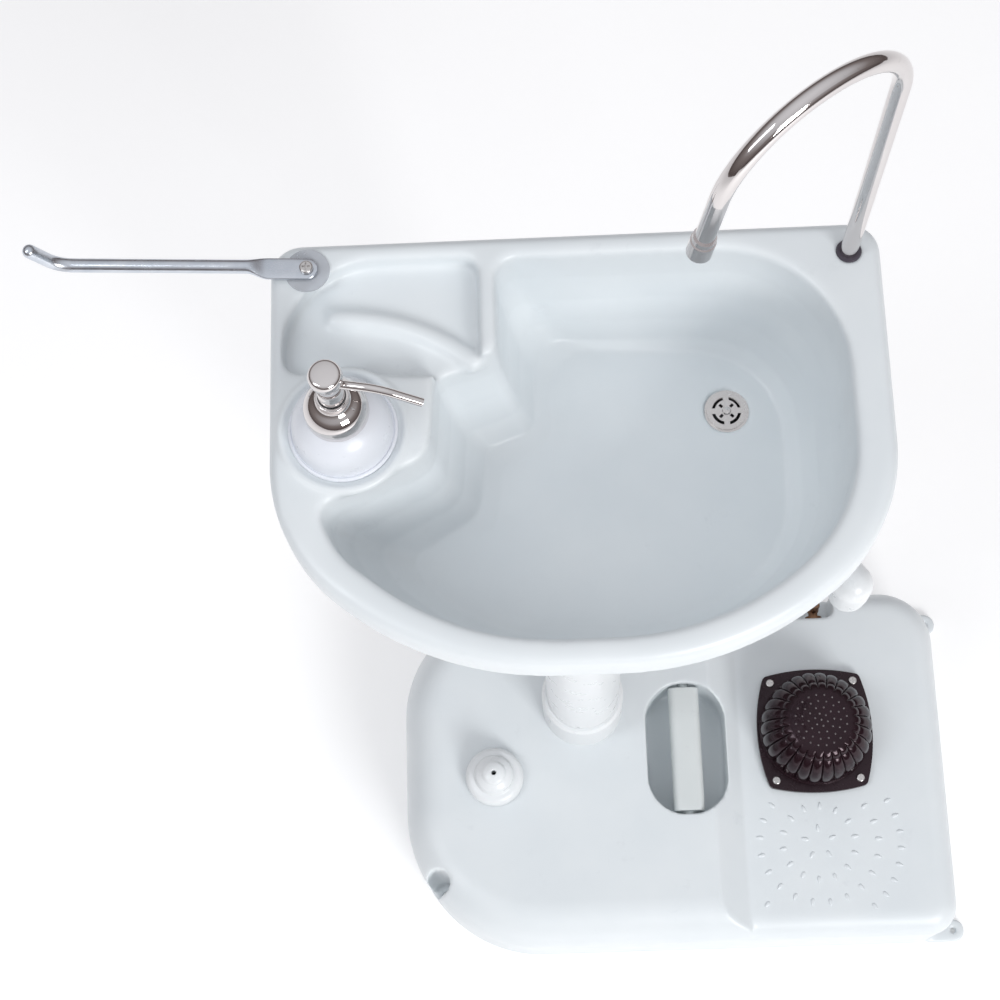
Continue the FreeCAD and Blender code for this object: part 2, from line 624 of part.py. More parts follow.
def bowl_form(grow):
    """The bowl's hollow, or with grow the outside of its wall: quarter-round in section."""
    steps = 5
    mouth_drop = -4.0 if grow == 0 else 3.0
    wires = [bowl_section(0.0, grow, mouth_drop)]
    for step in range(1, steps + 1):
        angle = math.pi / 2 * step / steps
        share = 1 - math.cos(angle)
        wires.append(bowl_section(share, grow, grow + size("bowl_depth") * math.sin(angle)))
    return Part.makeLoft(wires, True, True)


def tray_form(grow):
    """The tray's hollow, or with grow the outside of its wall."""
    wire = rounded_wire(TRAY, size("rim_height") - size("tray_depth") - grow)
    if grow:
        wire = wire.makeOffset2D(grow)
        return prism(wire, size("tray_depth"))
    return prism(wire, size("tray_depth") + 5.0)


def drain_floor():
    """Height of the flat seat sunk into the bowl's floor at the drain."""
    return (size("rim_height") - size("bowl_depth")
            - size("floor_slope") * (size("drain_x") + size("drain_radius")) - 1.5)


def tray_rib(reach, bulge, first, last):
    """One arched rib on the tray's floor, between two headings."""
    floor = size("rim_height") - size("tray_depth")
    ring = Part.makeTorus(reach, bulge, Vector(*RIB_CENTRE, floor - bulge * RIB_SUNK),
                          Vector(0, 0, 1), -180, 180, 360)
    hub = Vector(*RIB_CENTRE, floor - 1.0)
    corners = [hub] + [polar(*RIB_CENTRE, heading, 260.0, floor - 1.0)
                       for heading in (first, last)] + [hub]
    wedge = Part.Face(Part.makePolygon(corners)).extrude(Vector(0, 0, 12))
    return ring.common(wedge).common(tray_form(0.0).fuse(tray_form(size("wall"))))


def make_basin():
    wall, rim, skirt = size("wall"), size("rim_height"), size("skirt_depth")
    drain = size("drain_x"), size("drain_y")
    faucet = size("faucet_x"), size("faucet_y")
    towel = size("towel_x"), size("towel_y")
    soap = size("soap_x"), size("soap_y")
    slab = rim_fillet(prism(basin_outline(0.0, rim - skirt), skirt), size("rim_round"), rim)
    under = prism(basin_outline(wall, rim - skirt - 1), skirt + 1 - wall)
    under = rim_fillet(under, size("rim_round") - wall, rim - wall)
    socket_bore = size("column_radius") + size("column_fit")
    socket_roof = rim - size("bowl_depth") - 3 * wall
    socket_foot = socket_roof - size("socket_depth")
    socket = cylinder(socket_bore + size("socket_wall"), socket_foot,
                      rim - size("bowl_depth") - wall / 2)
    seat = drain_floor()
    basin = slab.cut(under).fuse([
        bowl_form(wall), tray_form(wall), socket,
        cylinder(BOSS["drain"], seat - 6.0, seat + 2.0, *drain),
        cylinder(BOSS["faucet"], rim - BOSS["faucet_drop"], rim - wall / 2, *faucet),
        cylinder(BOSS["towel"], rim - BOSS["towel_drop"], rim - wall / 2, *towel)])
    basin = basin.cut([
        tray_form(0.0),
        cylinder(socket_bore, socket_foot - 1, socket_roof + 0.05),
        cylinder(size("bottle_radius") + 0.6, rim - 40.0, rim + 5.0, *soap),
        cylinder(size("drain_radius") + 0.5, seat, seat + 20.0, *drain),
        cylinder(size("drain_tube") + 0.3, seat - 20.0, seat + 5.0, *drain),
        cylinder(7.6, rim - 30.0, rim + 5.0, *faucet),
        cylinder(2.6, rim - 30.0, rim + 5.0, *towel)])
    ribs = [tray_rib(*rib) for rib in RIBS]
    return feature("basin_shell", basin.fuse(ribs).cut(bowl_form(0.0)).removeSplitter())


# ---- drain and waste -----------------------------------------------------------------------

def make_drain():
    x, y, seat = size("drain_x"), size("drain_y"), drain_floor()
    flange = cylinder(size("drain_radius"), seat, seat + 1.5, x, y)
    tube = cylinder(size("drain_tube"), seat - 36.0, seat, x, y)
    cup = cylinder(size("drain_bore"), seat - 40.0, seat + 5.0, x, y)
    feature("drain_flange", flange.fuse(tube).cut(cup).removeSplitter())
    plate = cylinder(15.0, seat + 1.5, seat + 2.7, x, y)
    slots = []
    for quarter in range(4):
        slot = box(x + 4.2, x + 7.2, y - 1.1, y + 1.1, seat, seat + 5)
        slot.rotate(Vector(x, y, 0), Vector(0, 0, 1), 90 * quarter + 45)
        arc = cylinder(11.2, seat, seat + 5, x, y).cut(cylinder(8.8, seat, seat + 5, x, y))
        gap = box(x, x + 14, y, y + 14, seat, seat + 5)
        bar = box(x + 2.2, x + 20, y + 2.2, y + 20, seat, seat + 5)
        arc = arc.common(gap).common(bar)
        arc.rotate(Vector(x, y, 0), Vector(0, 0, 1), 90 * quarter)
        slots += [slot, arc]
    slots.append(cylinder(1.6, seat, seat + 5, x, y))
    feature("drain_strainer", plate.cut(slots))
    revolved("drain_screw", "drain_x", "drain_y", "%r" % (seat + 2.7), [
        ("0", "0 - 10"), ("1.5", "0 - 10"), ("1.5", "0"), ("3.4", "0"), ("2.8", "1.4"),
        ("0", "1.8")])
    revolved("drain_gasket", "drain_x", "drain_y", "%r" % (seat - 9.0), [
        ("drain_tube + 0.3", "0"), ("24", "0"), ("24", "3"), ("drain_tube + 0.3", "3")])
    nut = primitive("Prism", "drain_nut_blank", "drain_x", "drain_y", "%r" % (seat - 18.0),
                    Circumradius="24", Height="9")
    hole = primitive("Cylinder", "drain_nut_hole", "drain_x", "drain_y", "%r" % (seat - 19.0),
                     Radius="drain_tube + 0.1", Height="11")
    keep(cut(nut, hole, "drain_nut"), "drain_nut")


def make_waste():
    """Elbow under the drain, a pipe to the front right, and an elbow that turns down."""
    x, y, level = size("drain_x"), size("drain_y"), size("waste_level")
    end = Vector(size("waste_x"), size("waste_y"), level)
    start = Vector(x, y, level)
    along = (end - start).normalize()
    top = drain_floor() - 20.0
    elbow, pipe, bore = size("elbow_radius"), size("waste_radius"), size("waste_radius") - 2.5
    cup = cylinder(elbow + 2.0, level + 14.0, top, x, y)
    body = cup.fuse([cylinder(elbow, level, level + 20.0, x, y), Part.makeSphere(elbow, start),
                     Part.makeCylinder(elbow, 30.0, start, along)])
    hollow = [cylinder(size("drain_tube") + 0.1, drain_floor() - 36.2, top + 1, x, y),
              cylinder(bore, level, top, x, y), Part.makeSphere(bore, start),
              Part.makeCylinder(bore, 32.0, start, along),
              Part.makeCylinder(pipe + 0.1, 20.0, start + along * 16.0, along)]
    feature("waste_elbow", body.cut(hollow).removeSplitter())
    span = (end - start).Length
    run = Part.makeCylinder(pipe, span - 32.0, start + along * 16.0, along)
    inner = Part.makeCylinder(bore, span, start, along)
    feature("waste_pipe", run.cut(inner))
    down = Vector(0, 0, -1)
    outlet = Part.makeSphere(elbow, end).fuse([
        Part.makeCylinder(elbow, 28.0, end - along * 28.0, along),
        Part.makeCylinder(elbow + 2.5, 10.0, end - along * 30.0, along),
        Part.makeCylinder(elbow, size("waste_drop") - size("spigot_length"), end, down),
        Part.makeCylinder(size("spigot_radius"), size("waste_drop"), end, down)])
    inside = [Part.makeSphere(bore, end), Part.makeCylinder(bore, 34.0, end - along * 34.0, along),
              Part.makeCylinder(pipe + 0.1, 14.1, end - along * 30.0, along),
              Part.makeCylinder(bore, size("waste_drop") + 1, end, down)]
    feature("waste_outlet", outlet.cut(inside).removeSplitter())


# ---- faucet --------------------------------------------------------------------------------

def faucet_path():
    """Tail, riser, the bend over the bowl and the short fall to the nozzle."""
    x, y, rim = size("faucet_x"), size("faucet_y"), size("rim_height")
    heading, bend = size("faucet_heading"), size("faucet_bend")
    shoulder = rim + size("faucet_riser")

    def bend_point(angle):
        reach = bend * (1 - math.cos(math.radians(angle)))
        return polar(x, y, heading, reach, shoulder + bend * math.sin(math.radians(angle)))

    sweep = size("faucet_sweep")
    end = bend_point(sweep)
    slope = polar(0, 0, heading, math.sin(math.radians(sweep)), math.cos(math.radians(sweep)))
    foot = Vector(x, y, rim - size("faucet_tail"))
    edges = [Part.LineSegment(foot, Vector(x, y, shoulder)).toShape(),
             Part.Arc(bend_point(0.0), bend_point(sweep / 2), end).toShape(),
             Part.LineSegment(end, end + slope * size("faucet_fall")).toShape()]
    return Part.Wire(edges), end + slope * size("faucet_fall"), slope


def make_faucet():
    rim = size("rim_height")
    path, tip, slope = faucet_path()
    outer = swept(path, size("faucet_radius"))
    inner = swept(path, size("faucet_radius") - size("faucet_wall"))
    tail = cylinder(7.4, rim - size("faucet_tail"), rim - size("faucet_tail") + 4.0,
                    size("faucet_x"), size("faucet_y"))
    tail = tail.cut(cylinder(size("faucet_radius") - 0.01, 0.0, 2000.0, size("faucet_x"),
                             size("faucet_y")))
    feature("faucet_gooseneck", outer.cut(inner).fuse(tail))
    step = tip - slope * 6.0
    shell = Part.makeCylinder(7.4, 5.0, step, slope).fuse(
        Part.makeCylinder(8.1, 13.0, step + slope * 5.0, slope))
    bore = Part.makeCylinder(size("faucet_radius") + 0.02, 6.01, step, slope)
    mouth = Part.makeCylinder(6.2, 14.0, step + slope * 6.0, slope)
    feature("faucet_nozzle", shell.cut([bore, mouth]).removeSplitter())
    screen = Part.makeCylinder(6.15, 1.6, step + slope * 14.0, slope)
    holes = []
    side = slope.cross(Vector(0, 0, 1)).normalize()
    other = slope.cross(side).normalize()
    for ring, count in ((0.0, 1), (2.2, 6), (4.4, 12)):
        for k in range(count):
            angle = 2 * math.pi * k / count
            offset = side * (ring * math.cos(angle)) + other * (ring * math.sin(angle))
            holes.append(Part.makeCylinder(0.6, 4.0, step + slope * 13.0 + offset, slope))
    feature("aerator_screen", screen.cut(holes))
    bore_gap = "faucet_radius + swivel_gap"
    revolved("faucet_grommet", "faucet_x", "faucet_y", "rim_height", [
        (bore_gap, "0 - 22"), ("7.5", "0 - 22"), ("7.5", "0"), ("9", "0"), ("8.4", "1.6"),
        (bore_gap, "1.6")])
    revolved("faucet_clip", "faucet_x", "faucet_y", "rim_height - 26", [
        (bore_gap, "0"), ("12", "0"), ("12", "3.6"), (bore_gap, "3.6")])


# ---- soap dispenser ------------------------------------------------------------------------

def make_soap():
    x, y = "soap_x", "soap_y"
    revolved("soap_bottle", x, y, "rim_height - bottle_depth", [
        ("0", "0"), ("bottle_radius - 6", "0"), ("bottle_radius", "6"),
        ("bottle_radius", "bottle_depth + 0.1"), ("bottle_flange", "bottle_depth + 0.1"),
        ("bottle_flange", "bottle_depth + 2.5"), ("bottle_radius", "bottle_depth + 3.5"),
        ("bottle_radius - 1.5", "bottle_depth + soap_lift + 11"),
        ("bottle_neck + 7", "bottle_depth + soap_lift + 27"),
        ("bottle_neck", "bottle_depth + soap_lift + 30"),
        ("bottle_neck", "bottle_depth + soap_lift + 44"),
        ("bottle_neck - 2", "bottle_depth + soap_lift + 44"),
        ("bottle_neck - 2", "bottle_depth + soap_lift + 28"),
        ("bottle_neck + 5", "bottle_depth + soap_lift + 25"),
        ("bottle_radius - 4", "bottle_depth + soap_lift + 9"),
        ("bottle_radius - 2.5", "bottle_depth"), ("bottle_radius - 2.5", "7"),
        ("bottle_radius - 7", "2.5"), ("0", "2.5")], [("bottle_radius - 1.5",
                                                       "bottle_depth + soap_lift + 11", 5.0)])
    revolved("soap_collar", x, y, "rim_height + soap_lift + 30.5", [
        ("bottle_neck + 0.1", "0"), ("collar_dome - 1", "0"), ("collar_dome", "3"),
        ("collar_dome", "9"), ("collar_dome - 3", "16"), ("collar_dome - 7", "22"),
        ("12", "25"), ("12", "31"), ("9.6", "31"), ("9.6", "16.2"),
        ("bottle_neck + 0.1", "16.2")])
    revolved("soap_cylinder", x, y, "rim_height + soap_lift - 10", [
        ("soap_stem + 0.4", "56.5"), ("8.1", "56.5"), ("8.1", "56.6"), ("13.8", "56.6"),
        ("13.8", "54.1"), ("7.5", "54.1"), ("7.5", "0"), ("2.6", "0"), ("2.6", "2"),
        ("6", "3"), ("6", "53"), ("soap_stem + 0.4", "53")])
    revolved("soap_dip_tube", x, y, "rim_height - bottle_depth + 8", [
        ("1.6", "0"), ("2.5", "0"), ("2.5", "bottle_depth + soap_lift - 16.5"),
        ("1.6", "bottle_depth + soap_lift - 16.5")])
    revolved("soap_stem", x, y, "rim_height + soap_lift + 11", [
        ("1.5", "0"), ("5.7", "0"), ("5.7", "5"), ("soap_stem", "5"), ("soap_stem", "58"),
        ("1.5", "58")])
    feature("soap_spring", spring(3.8, 0.45, 17.0, 6),
            Vector(size("soap_x"), size("soap_y"), size("rim_height") + size("soap_lift") - 6.4))
    revolved("soap_knob", x, y, "rim_height + soap_lift + 62", [
        ("soap_stem + 0.02", "0"), ("9", "0"), ("9", "8"), ("7.8", "14"), ("8.6", "19"),
        ("8.6", "28"), ("knob_radius", "30.5"), ("knob_radius", "38"),
        ("knob_radius - 1.5", "40"), ("0", "40.6"), ("0", "32"), ("soap_stem + 0.02", "32")])
    base = size("rim_height") + size("soap_lift") + 62.0 + 21.0
    heading, reach = size("spout_heading"), size("spout_reach")
    sx, sy = size("soap_x"), size("soap_y")
    path = tube_path([polar(sx, sy, heading, 7.6, base + 3.0),
                      polar(sx, sy, heading, reach * 0.55, base + 6.0),
                      polar(sx, sy, heading, reach, base - 6.0)], [40.0])
    tube = swept(path, size("spout_radius")).cut(swept(path, size("spout_radius") - 0.8))
    neck = cylinder(8.6, base - 30.0, base + 30.0, sx, sy)
    feature("soap_spout", tube.cut(neck))


# ---- towel bar -----------------------------------------------------------------------------

def make_towel_bar():
    x, y, rim = size("towel_x"), size("towel_y"), size("rim_height")
    heading, reach, radius = size("towel_heading"), size("towel_reach"), size("towel_radius")
    level = rim + size("towel_lift")
    points = [polar(x, y, heading, 34.0, level), polar(x, y, heading, reach, level),
              polar(x, y, heading, reach + 16.0, level + 27.0)]
    path = tube_path(points, [20.0])
    rod = swept(path, radius)
    tip = points[-1]
    rod = rod.fuse(Part.makeSphere(radius, tip))
    eye_z = rim + 1.7
    eye = cylinder(size("towel_eye"), eye_z, eye_z + 3.4, x, y)
    direction = polar(0, 0, heading, 1.0, 0)
    strap = box(0.0, 26.0, -size("towel_eye"), size("towel_eye"), 0.0, 3.4)
    strap.rotate(Vector(0, 0, 0), Vector(0, 0, 1), heading)
    strap.translate(Vector(x, y, eye_z))
    start = Part.makePolygon([Vector(0, -8, 0), Vector(0, 8, 0), Vector(0, 8, 3.4),
                              Vector(0, -8, 3.4), Vector(0, -8, 0)])
    finish = Part.makePolygon([Vector(14, -3.6, 1.6), Vector(14, 3.6, 1.6),
                               Vector(14, 3.6, 9.0), Vector(14, -3.6, 9.0),
                               Vector(14, -3.6, 1.6)])
    taper = Part.makeLoft([start, finish], True, True)
    taper.rotate(Vector(0, 0, 0), Vector(0, 0, 1), heading)
    taper.translate(Vector(x, y, eye_z) + direction * 25.5)
    bar = eye.fuse([strap, taper, rod]).cut(cylinder(2.6, rim, rim + 20, x, y))
    feature("towel_bar", bar.removeSplitter())
    revolved("towel_washer", "towel_x", "towel_y", "rim_height", [
        ("2.6", "0"), ("towel_washer", "0"), ("towel_washer", "1.3"), ("2.6", "1.3")])
    head = rim_fillet(cylinder(4.9, rim + 5.5, rim + 8.6, x, y), 1.6, rim + 8.6)
    slots = [box(x - 2.9, x + 2.9, y - 0.6, y + 0.6, rim + 7.0, rim + 10),
             box(x - 0.6, x + 0.6, y - 2.9, y + 2.9, rim + 7.0, rim + 10)]
    shank = cylinder(2.53, rim - 19.0, rim + 5.5, x, y)
    feature("towel_screw", head.cut(slots).fuse(shank))
    nut = primitive("Prism", "towel_nut_blank", "towel_x", "towel_y", "rim_height - 17",
                    Circumradius="5.6", Height="5")
    hole = primitive("Cylinder", "towel_nut_hole", "towel_x", "towel_y", "rim_height - 18",
                     Radius="2.55", Height="7")
    keep(cut(nut, hole, "towel_nut"), "towel_nut")


make_tank()
make_grip()
make_cap()
make_pump()
make_hose_tail()
make_column()
make_basin()
make_drain()
make_waste()
make_faucet()
make_soap()
make_towel_bar()
doc.recompute()

for thing in doc.Objects:
    if {"Invalid", "Error"} & set(thing.State):
        raise RuntimeError("%s did not rebuild: %s" % (thing.Label, thing.State))
os.makedirs("parts", exist_ok=True)
for node in nodes:
    shape = node.Shape
    if shape.isNull() or not shape.isValid():
        raise RuntimeError("%s has no valid shape" % node.Label)
    shape.exportStep("parts/%s.step" % node.Label)
    reach = shape.BoundBox
    print("%-20s solids %d volume %9.0f  x %7.1f %7.1f  y %7.1f %7.1f  z %7.1f %7.1f" % (
        node.Label, len(shape.Solids), shape.Volume, reach.XMin, reach.XMax, reach.YMin,
        reach.YMax, reach.ZMin, reach.ZMax))
print("nodes", len(nodes))
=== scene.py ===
import math

import bmesh
import bpy
import numpy as np
from mathutils import Matrix, Vector


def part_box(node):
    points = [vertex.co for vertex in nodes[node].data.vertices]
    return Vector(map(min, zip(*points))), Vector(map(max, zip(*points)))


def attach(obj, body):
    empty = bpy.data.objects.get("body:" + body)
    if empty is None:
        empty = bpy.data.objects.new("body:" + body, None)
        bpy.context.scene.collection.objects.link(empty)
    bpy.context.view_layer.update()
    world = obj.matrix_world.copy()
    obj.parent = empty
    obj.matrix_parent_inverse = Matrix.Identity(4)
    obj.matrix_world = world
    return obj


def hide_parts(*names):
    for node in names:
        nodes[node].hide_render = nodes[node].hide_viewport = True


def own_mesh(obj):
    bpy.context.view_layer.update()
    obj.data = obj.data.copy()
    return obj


# A portable handwash sink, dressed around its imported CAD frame. Lengths in the tables below are
# millimetres in the frame's axes (+X right, +Y away, +Z up); MM turns them into metres.

MM = 0.001

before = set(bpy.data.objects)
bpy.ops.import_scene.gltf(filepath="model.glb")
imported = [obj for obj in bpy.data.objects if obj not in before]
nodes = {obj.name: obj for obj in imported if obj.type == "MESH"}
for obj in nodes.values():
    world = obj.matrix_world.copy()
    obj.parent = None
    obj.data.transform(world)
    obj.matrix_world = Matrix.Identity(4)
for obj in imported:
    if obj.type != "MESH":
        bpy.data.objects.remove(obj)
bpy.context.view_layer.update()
scene = bpy.context.scene


# ---- places, from the frame ----------------------------------------------------------------

def middle(node):
    """The centre of a CAD node in plan, in millimetres."""
    low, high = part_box(node)
    return (low.x + high.x) / 2 / MM, (low.y + high.y) / 2 / MM


def foot(node):
    """The height of a CAD node's lowest point, in millimetres."""
    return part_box(node)[0].z / MM


def seat(node, lift=0.0):
    """The middle of a CAD node's lowest face, in millimetres, or a point lift above it."""
    return (*middle(node), foot(node) + lift)


SOAP, PUMP = middle("soap_collar"), middle("pump_tread")
DRAIN, FAUCET, TOWEL = middle("drain_flange"), middle("faucet_grommet"), middle("towel_washer")
RIM = foot("towel_washer")
PAD = foot("pump_gasket")


# ---- materials -----------------------------------------------------------------------------

def add_node(tree, kind, inputs=None, **values):
    """A shader node with its properties and unlinked inputs set."""
    node = tree.nodes.new(kind)
    for name, value in values.items():
        setattr(node, name, value)
    for name, value in (inputs or {}).items():
        node.inputs[name].default_value = value
    return node


def noise(tree, coordinates, scale, detail=3.0, rough=0.5, stretch=(1, 1, 1)):
    """A noise value over the object's own coordinates."""
    mapping = add_node(tree, "ShaderNodeMapping", {"Scale": stretch})
    tree.links.new(coordinates, mapping.inputs["Vector"])
    node = add_node(tree, "ShaderNodeTexNoise",
                    {"Scale": scale, "Detail": detail, "Roughness": rough})
    tree.links.new(mapping.outputs["Vector"], node.inputs["Vector"])
    return node.outputs["Fac"]


def span(tree, value, low, high, from_low=0.3, from_high=0.7):
    """A value stretched from one range to another, held at its ends."""
    node = add_node(tree, "ShaderNodeMapRange", {"From Min": from_low, "From Max": from_high,
                                                 "To Min": low, "To Max": high})
    tree.links.new(value, node.inputs["Value"])
    return node.outputs["Result"]


def blend_colour(tree, factor, first, second):
    """A mix of two colours, each a tuple or another node's output."""
    node = add_node(tree, "ShaderNodeMix", data_type="RGBA")
    tree.links.new(factor, node.inputs["Factor"])
    for socket, colour in ((node.inputs[6], first), (node.inputs[7], second)):
        if isinstance(colour, tuple):
            socket.default_value = (*colour, 1.0)
        else:
            tree.links.new(colour, socket)
    return node.outputs[2]


def finish(name, colour, other, rough, patch=14.0, grain=900.0, depth=0.03, metallic=0.0,
           scuff=None, scuff_scale=60.0, wear=0.12, stretch=(1, 1, 1), **sockets):
    """A procedural surface: mottled colour, uneven gloss, fine bump and worn patches."""
    material = bpy.data.materials.new(name)
    material.use_nodes = True
    tree = material.node_tree
    shader = tree.nodes["Principled BSDF"]
    where = add_node(tree, "ShaderNodeTexCoord").outputs["Object"]
    mottle = span(tree, noise(tree, where, patch, 4.0), 0.0, 1.0)
    base = blend_colour(tree, mottle, colour, other)
    gloss = span(tree, noise(tree, where, patch * 3.0, 5.0, 0.6, stretch), rough[0], rough[1])
    if scuff:
        worn = span(tree, noise(tree, where, scuff_scale, 8.0, 0.7, stretch), 0.0, 1.0,
                    0.62, 0.72)
        base = blend_colour(tree, worn, base, scuff)
        lift = add_node(tree, "ShaderNodeMath", operation="MULTIPLY_ADD")
        lift.inputs[1].default_value = wear
        tree.links.new(worn, lift.inputs[0])
        tree.links.new(gloss, lift.inputs[2])
        gloss = lift.outputs[0]
    fine = noise(tree, where, grain, 3.0, 0.6, stretch)
    bump = add_node(tree, "ShaderNodeBump", {"Strength": 0.35, "Distance": depth * MM})
    tree.links.new(fine, bump.inputs["Height"])
    tree.links.new(base, shader.inputs["Base Color"])
    tree.links.new(gloss, shader.inputs["Roughness"])
    tree.links.new(bump.outputs["Normal"], shader.inputs["Normal"])
    shader.inputs["Metallic"].default_value = metallic
    for socket, value in sockets.items():
        shader.inputs[socket.replace("_", " ")].default_value = value
    return material


SHELL = finish("shell_plastic", (0.72, 0.765, 0.79), (0.76, 0.80, 0.82), (0.30, 0.42),
               grain=1400.0, depth=0.05, scuff=(0.695, 0.735, 0.76), scuff_scale=25.0,
               wear=0.06)
WHITE = finish("white_plastic", (0.79, 0.82, 0.835), (0.82, 0.845, 0.86), (0.26, 0.32),
               grain=1100.0, depth=0.006, scuff=(0.77, 0.80, 0.82), wear=0.03)
GRIP = finish("grip_plastic", (0.66, 0.70, 0.70), (0.70, 0.735, 0.735), (0.38, 0.50),
              grain=1600.0, depth=0.06, scuff=(0.6, 0.63, 0.64))
BOTTLE = finish("bottle_plastic", (0.76, 0.79, 0.85), (0.79, 0.82, 0.87), (0.26, 0.32),
                grain=700.0, depth=0.006, scuff=(0.74, 0.77, 0.83), wear=0.03)
SEAL = finish("seal_rubber", (0.030, 0.030, 0.034), (0.045, 0.044, 0.048), (0.50, 0.65),
              depth=0.08, scuff=(0.09, 0.09, 0.09))
RUBBER = finish("black_rubber", (0.009, 0.003, 0.005), (0.015, 0.006, 0.009), (0.11, 0.19),
                patch=40.0, grain=1500.0, depth=0.03, scuff=(0.026, 0.016, 0.020),
                scuff_scale=120.0, wear=0.05, Specular_IOR_Level=0.34,
                Specular_Tint=(1.0, 0.80, 0.88, 1.0))
# Lighter rubber for the tread's pimples: a painted highlight, the bright dots where light catches
# the pimples, put into their colour.
PAINTED_HIGHLIGHT_RUBBER = finish("painted_highlight_rubber", (0.10, 0.085, 0.09), (0.15, 0.13, 0.135), (0.12, 0.20),
                     patch=300.0, grain=1500.0, depth=0.02, scuff=(0.18, 0.16, 0.165),
                     scuff_scale=300.0, wear=0.05)
BLACK = finish("black_plastic", (0.010, 0.004, 0.006), (0.016, 0.008, 0.011), (0.22, 0.34),
               grain=1300.0, depth=0.04, scuff=(0.03, 0.023, 0.025), wear=0.05,
               Specular_IOR_Level=0.38, Specular_Tint=(1.0, 0.82, 0.89, 1.0))
GROMMET = finish("grommet_rubber", (0.045, 0.036, 0.052), (0.065, 0.054, 0.072), (0.35, 0.50),
                 grain=1500.0, depth=0.04, scuff=(0.09, 0.08, 0.095))
CHROME = finish("chrome", (0.68, 0.645, 0.64), (0.74, 0.71, 0.70), (0.04, 0.09),
                metallic=1.0, grain=500.0, depth=0.004, scuff=(0.62, 0.59, 0.58),
                scuff_scale=90.0, wear=0.05)
STEEL = finish("steel", (0.60, 0.58, 0.57), (0.68, 0.66, 0.65), (0.20, 0.34),
               metallic=1.0, grain=900.0, depth=0.02, scuff=(0.50, 0.48, 0.47))
ZINC = finish("zinc_steel", (0.56, 0.60, 0.66), (0.66, 0.69, 0.74), (0.16, 0.32),
              metallic=1.0, patch=60.0, grain=700.0, depth=0.03, scuff=(0.50, 0.52, 0.56),
              stretch=(0.25, 1, 1))
BRASS = finish("brass", (0.26, 0.15, 0.09), (0.20, 0.11, 0.07), (0.28, 0.45),
               metallic=1.0, patch=120.0, grain=900.0, depth=0.04, scuff=(0.22, 0.12, 0.07))
WASHER = finish("washer_plastic", (0.62, 0.65, 0.70), (0.70, 0.73, 0.77), (0.15, 0.28),
                depth=0.02, scuff=(0.66, 0.68, 0.72), Transmission_Weight=0.35)
FLOOR = finish("floor_paper", (0.94, 0.94, 0.94), (0.96, 0.96, 0.96), (0.8, 0.9), patch=2.0,
               grain=300.0, depth=0.02, Emission_Color=(1.0, 1.0, 1.0, 1.0),
               Emission_Strength=0.16)

FINISHES = {"shell_plastic": SHELL, "white_plastic": WHITE, "grip_plastic": GRIP,
            "bottle_plastic": BOTTLE, "seal_rubber": SEAL, "black_rubber": RUBBER,
            "black_plastic": BLACK, "chrome": CHROME, "steel": STEEL, "zinc_steel": ZINC,
            "brass": BRASS}

for node in nodes.values():
    for entry in node.material_slots:
        entry.material = FINISHES[entry.material.name.split(".")[0]]
nodes["towel_washer"].material_slots[0].material = WASHER
nodes["faucet_grommet"].material_slots[0].material = GROMMET


# ---- mesh building -------------------------------------------------------------------------

def mesh_object(name, points, faces, material, body, slot, replaces=(), sharp=40.0):
    """A smooth-shaded mesh object from points in millimetres."""
    mesh = bpy.data.meshes.new(name)
    mesh.from_pydata([tuple(MM * c for c in p) for p in points], [], faces)
    mesh.validate()
    fix = bmesh.new()
    fix.from_mesh(mesh)
    bmesh.ops.recalc_face_normals(fix, faces=fix.faces)
    fix.to_mesh(mesh)
    fix.free()
    return settle(name, mesh, material, body, replaces, sharp)


def settle(name, mesh, material, body, replaces, sharp):
    """Give a mesh its material and shading, and make it a piece that rides on a body."""
    mesh.materials.clear()
    mesh.materials.append(material)
    mesh.shade_smooth()
    mesh.set_sharp_from_angle(angle=math.radians(sharp))
    piece = bpy.data.objects.new(name, mesh)
    scene.collection.objects.link(piece)
    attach(piece, body)
    if replaces:
        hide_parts(*replaces)
    return piece


def rounded(corners, steps=6, closed=False):
    """(r, z, fillet) corners as a line of (r, z) points with each corner rounded."""
    count, line = len(corners), []
    for i, (r, z, fillet) in enumerate(corners):
        here = Vector((r, z))
        if fillet <= 0.0 or (not closed and i in (0, count - 1)):
            line.append(here)
            continue
        before = Vector(corners[i - 1][:2]) - here
        after = Vector(corners[(i + 1) % count][:2]) - here
        reach = min(fillet, before.length * 0.49, after.length * 0.49)
        start, end = here + before.normalized() * reach, here + after.normalized() * reach
        for k in range(steps + 1):
            t = k / steps
            line.append(start * (1 - t) ** 2 + here * 2 * t * (1 - t) + end * t * t)
    return line


def turned_mesh(centre, corners, around=96, closed=False, steps=6, ripple=None):
    """Points and faces of a profile turned about +Z; ripple(angle, r, z) moves the radius."""
    line = rounded(corners, steps, closed)
    points, rings = [], []
    for r, z in line:
        if r < 1e-6:
            rings.append([len(points)])
            points.append((centre[0], centre[1], centre[2] + z))
            continue
        ring = []
        for k in range(around):
            angle = 2 * math.pi * k / around
            radius = r + (ripple(angle, r, z) if ripple else 0.0)
            ring.append(len(points))
            points.append((centre[0] + radius * math.cos(angle),
                           centre[1] + radius * math.sin(angle), centre[2] + z))
        rings.append(ring)
    faces = []
    pairs = list(zip(rings, rings[1:]))
    if closed:
        pairs.append((rings[-1], rings[0]))
    for lower, upper in pairs:
        if len(lower) == 1 and len(upper) == 1:
            continue
        for k in range(around):
            a, b = lower[k % len(lower)], lower[(k + 1) % len(lower)]
            c, d = upper[(k + 1) % len(upper)], upper[k % len(upper)]
            faces.append([v for i, v in enumerate((a, b, c, d)) if v not in (a, b, c, d)[:i]])
    return points, faces


def turned(name, centre, corners, material, body, slot, replaces, sharp=40.0, **options):
    """A turned piece; options are turned_mesh's."""
    points, faces = turned_mesh(centre, corners, **options)
    return mesh_object(name, points, faces, material, body, slot, replaces, sharp)


